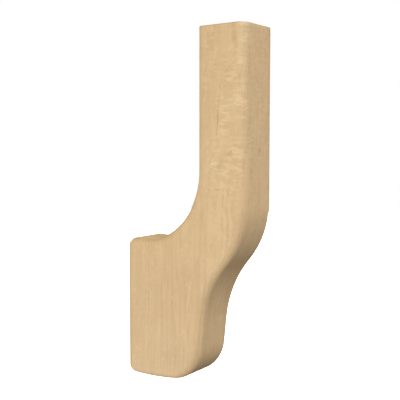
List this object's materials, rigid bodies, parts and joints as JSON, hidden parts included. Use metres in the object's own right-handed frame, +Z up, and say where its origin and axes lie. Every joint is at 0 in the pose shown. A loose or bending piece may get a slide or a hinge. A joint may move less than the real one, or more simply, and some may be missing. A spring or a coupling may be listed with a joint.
{
  "type": "wooden corbel bracket",
  "caption": "Solid maple corbel with a flat-backed block, a square stem set forward of the wall, an ogee front and rounded edges, to carry a shelf or counter.",
  "frame": {"origin": "on the flat back of the block, which goes against the wall, at half the block's height and half the bracket's width", "axes": "+X away from the wall, towards the ogee front; +Z up, towards the sawn top of the stem; +Y across the width"},
  "size_m": [0.2032, 0.0762, 0.4953],
  "materials": {
    "maple": "sanded bare maple with fine vertical grain and faint curl"
  },
  "bodies": {
    "root": {"bracket": "maple"}
  },
  "joints": []
}
